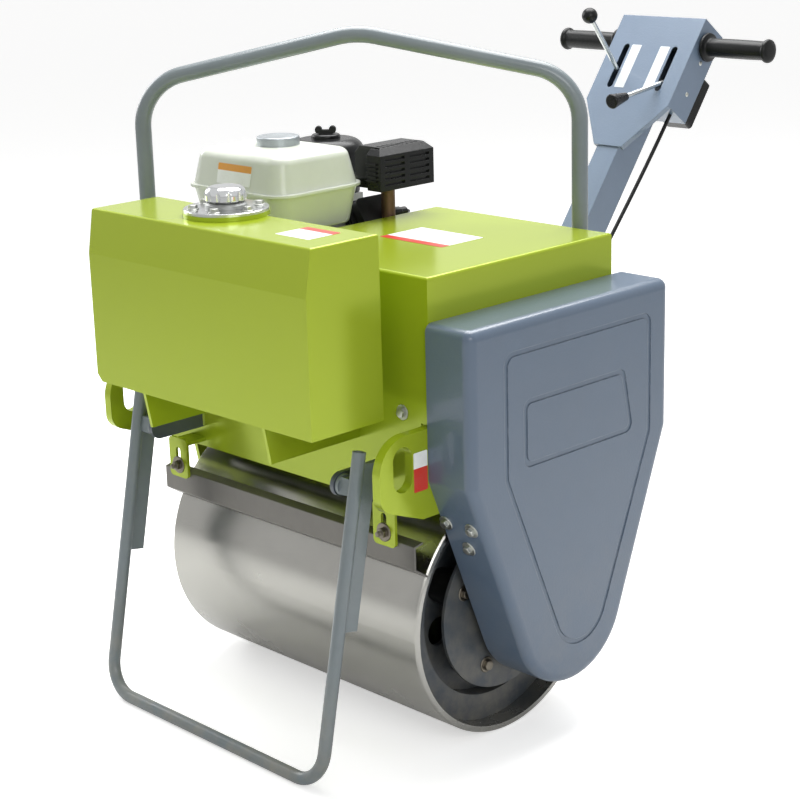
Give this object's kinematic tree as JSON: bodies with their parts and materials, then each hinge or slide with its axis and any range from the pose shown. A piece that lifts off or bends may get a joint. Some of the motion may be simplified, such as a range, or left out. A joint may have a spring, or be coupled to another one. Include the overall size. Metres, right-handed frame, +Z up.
{
  "type": "walk-behind road roller",
  "caption": "Walk-behind vibrating roller: smooth steel drum, box water tank, petrol engine, belt guard, diagonal lifting bar, fold-up stand and leaning steering handle with console.",
  "frame": {"origin": "on the ground straight below the drum's axle, midway along the drum", "axes": "+X forward towards the water tank, +Y to the machine's left where the belt guard is, +Z up"},
  "size_m": [1.2101, 0.809, 1.1139],
  "materials": {
    "lime_paint": "gloss",
    "grey_paint": "satin",
    "tube_grey": "satin",
    "drum_steel": "turned",
    "zinc_steel": "zinc plated",
    "chrome": "polished",
    "black_plastic": "satin",
    "white_plastic": "satin",
    "rubber": "matte",
    "engine_alloy": "cast",
    "black_metal": "satin",
    "exhaust_steel": "heat tinted"
  },
  "bodies": {
    "chassis": {"left_side_plate": "lime_paint", "right_side_plate": "lime_paint", "left_hanger": "grey_paint", "right_hanger": "grey_paint", "bearing_housings": "grey_paint", "bearing_cap": "grey_paint", "front_apron": "lime_paint", "rear_apron": "lime_paint", "deck_plate": "lime_paint", "hood": "lime_paint", "gearbox": "black_metal", "water_tank": "lime_paint", "tank_gussets": "lime_paint", "filler_boss": "lime_paint", "filler_plate": "zinc_steel", "filler_neck": "grey_paint", "filler_cap": "chrome", "belt_guard": "grey_paint", "scraper_bar": "grey_paint", "scraper_brackets": "lime_paint", "spray_pipe": "zinc_steel", "lifting_bar": "tube_grey", "bar_saddles": "tube_grey", "stand_brackets": "black_metal", "crankcase": "engine_alloy", "cylinder": "black_metal", "recoil_housing": "black_metal", "fuel_tank": "white_plastic", "fuel_cap": "zinc_steel", "air_cleaner": "black_plastic", "intake": "engine_alloy", "muffler": "black_metal", "exhaust_stub": "exhaust_steel", "handle_clevis": "grey_paint", "handle_pin": "zinc_steel"},
    "drum": {"drum_shell": "drum_steel", "drum_end_walls": "grey_paint", "drum_shafts": "zinc_steel", "drive_discs": "grey_paint", "rubber_buffers": "rubber"},
    "stand": {"stand_tube": "tube_grey", "stand_ribs": "tube_grey", "stand_lugs": "tube_grey"},
    "handle": {"handle_pivot_tube": "grey_paint", "handle_post": "grey_paint", "console": "grey_paint", "handle_bar": "zinc_steel", "grips": "rubber", "levers": "zinc_steel", "lever_knobs": "black_plastic", "switch_box": "black_plastic", "control_cable": "rubber", "cable_stop": "zinc_steel"}
  },
  "joints": [
    {"name": "drum_roll", "type": "hinge", "parent": "chassis", "child": "drum", "pos_m": [0, 0, 0.213], "axis": [0, 1, 0], "continuous": true},
    {"name": "stand_swing", "type": "hinge", "parent": "chassis", "child": "stand", "pos_m": [0.266, 0, 0.465], "axis": [0, -1, 0], "range_deg": [0, 75]},
    {"name": "handle_tilt", "type": "hinge", "parent": "chassis", "child": "handle", "pos_m": [-0.33, 0, 0.452], "axis": [0, 1, 0], "range_deg": [-32, 35]}
  ]
}
